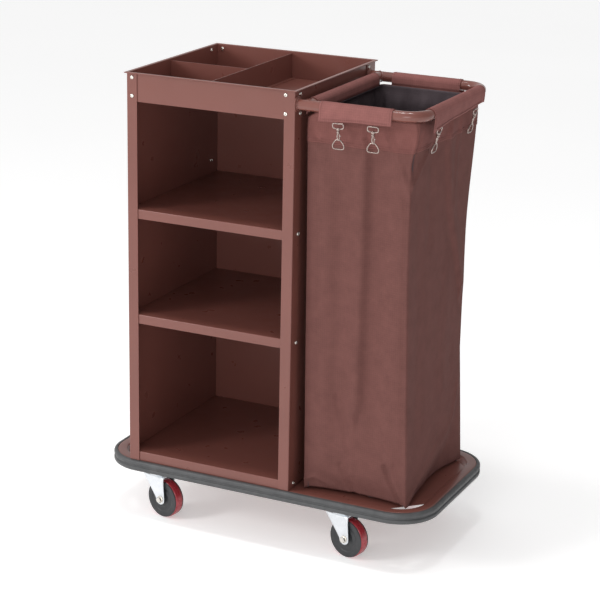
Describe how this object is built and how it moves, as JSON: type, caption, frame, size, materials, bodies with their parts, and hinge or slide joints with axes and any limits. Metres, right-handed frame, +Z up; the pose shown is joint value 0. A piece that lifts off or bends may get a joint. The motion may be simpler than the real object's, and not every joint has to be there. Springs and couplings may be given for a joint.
{
  "type": "housekeeping cart",
  "caption": "Open-fronted steel cabinet with shelves and a divided top tray beside a hanging laundry bag, on a bumpered base with swivel casters.",
  "frame": {"origin": "on the floor, below the middle of the base", "axes": "+X from the cabinet towards the bag, +Y from the open front to the back, +Z up"},
  "size_m": [0.896, 0.476, 1.1563],
  "materials": {
    "brown_powder_coat": "semi-gloss brown powder coat",
    "bag_cloth": "matt woven polyester",
    "bumper_rubber": "matt grey ribbed rubber",
    "zinc_plate": "bright zinc plate",
    "bright_steel": "bright plated steel",
    "nickel_wire": "nickel-plated wire",
    "wheel_core_plastic": "dark grey moulded plastic",
    "wheel_tread_pu": "dark red polyurethane"
  },
  "bodies": {
    "cart": {"back_panel": "brown_powder_coat", "bag_body": "bag_cloth", "bag_cross_tube": "brown_powder_coat", "bag_flap_back": "bag_cloth", "bag_flap_front": "bag_cloth", "bag_flap_left": "bag_cloth", "bag_flap_right": "bag_cloth", "bag_frame_tube": "brown_powder_coat", "base_ring": "brown_powder_coat", "bottom_shelf": "brown_powder_coat", "bumper": "bumper_rubber", "caster_channel_left": "brown_powder_coat", "caster_channel_right": "brown_powder_coat", "caster_plate_front_left": "zinc_plate", "caster_plate_front_right": "zinc_plate", "caster_plate_rear_left": "zinc_plate", "caster_plate_rear_right": "zinc_plate", "deck_plate": "brown_powder_coat", "hook_back_1": "nickel_wire", "hook_back_2": "nickel_wire", "hook_front_1": "nickel_wire", "hook_front_2": "nickel_wire", "hook_left_1": "nickel_wire", "hook_left_2": "nickel_wire", "hook_right_1": "nickel_wire", "hook_right_2": "nickel_wire", "lower_shelf": "brown_powder_coat", "post_front_left": "brown_powder_coat", "post_front_right": "brown_powder_coat", "post_rear_left": "brown_powder_coat", "post_rear_right": "brown_powder_coat", "side_panel_left": "brown_powder_coat", "side_panel_right": "brown_powder_coat", "tray": "brown_powder_coat", "tray_cross_divider": "brown_powder_coat", "tray_long_divider": "brown_powder_coat", "tray_screw_left_lower": "bright_steel", "tray_screw_left_upper": "bright_steel", "tray_screw_right_lower": "bright_steel", "tray_screw_right_upper": "bright_steel", "tube_flange_front": "brown_powder_coat", "tube_flange_rear": "brown_powder_coat", "upper_shelf": "brown_powder_coat"},
    "fork_front_left": {"caster_fork_front_left": "zinc_plate", "axle_bolt_front_left": "bright_steel"},
    "wheel_front_left": {"wheel_core_front_left": "wheel_core_plastic", "wheel_tread_front_left": "wheel_tread_pu"},
    "fork_front_right": {"caster_fork_front_right": "zinc_plate", "axle_bolt_front_right": "bright_steel"},
    "wheel_front_right": {"wheel_core_front_right": "wheel_core_plastic", "wheel_tread_front_right": "wheel_tread_pu"},
    "fork_rear_left": {"caster_fork_rear_left": "zinc_plate", "axle_bolt_rear_left": "bright_steel"},
    "wheel_rear_left": {"wheel_core_rear_left": "wheel_core_plastic", "wheel_tread_rear_left": "wheel_tread_pu"},
    "fork_rear_right": {"caster_fork_rear_right": "zinc_plate", "axle_bolt_rear_right": "bright_steel"},
    "wheel_rear_right": {"wheel_core_rear_right": "wheel_core_plastic", "wheel_tread_rear_right": "wheel_tread_pu"}
  },
  "joints": [
    {"name": "swivel_front_left", "type": "hinge", "parent": "cart", "child": "fork_front_left", "pos_m": [-0.306, -0.177, 0.12], "axis": [0, 0, 1], "continuous": true},
    {"name": "wheel_spin_front_left", "type": "hinge", "parent": "fork_front_left", "child": "wheel_front_left", "pos_m": [-0.28185, -0.18347, 0.05], "axis": [0.2588, 0.9659, 0], "continuous": true},
    {"name": "swivel_front_right", "type": "hinge", "parent": "cart", "child": "fork_front_right", "pos_m": [0.212, -0.177, 0.12], "axis": [0, 0, 1], "continuous": true},
    {"name": "wheel_spin_front_right", "type": "hinge", "parent": "fork_front_right", "child": "wheel_front_right", "pos_m": [0.23615, -0.18347, 0.05], "axis": [0.2588, 0.9659, 0], "continuous": true},
    {"name": "swivel_rear_left", "type": "hinge", "parent": "cart", "child": "fork_rear_left", "pos_m": [-0.306, 0.177, 0.12], "axis": [0, 0, 1], "continuous": true},
    {"name": "wheel_spin_rear_left", "type": "hinge", "parent": "fork_rear_left", "child": "wheel_rear_left", "pos_m": [-0.28185, 0.17053, 0.05], "axis": [0.2588, 0.9659, 0], "continuous": true},
    {"name": "swivel_rear_right", "type": "hinge", "parent": "cart", "child": "fork_rear_right", "pos_m": [0.212, 0.177, 0.12], "axis": [0, 0, 1], "continuous": true},
    {"name": "wheel_spin_rear_right", "type": "hinge", "parent": "fork_rear_right", "child": "wheel_rear_right", "pos_m": [0.23615, 0.17053, 0.05], "axis": [0.2588, 0.9659, 0], "continuous": true}
  ]
}
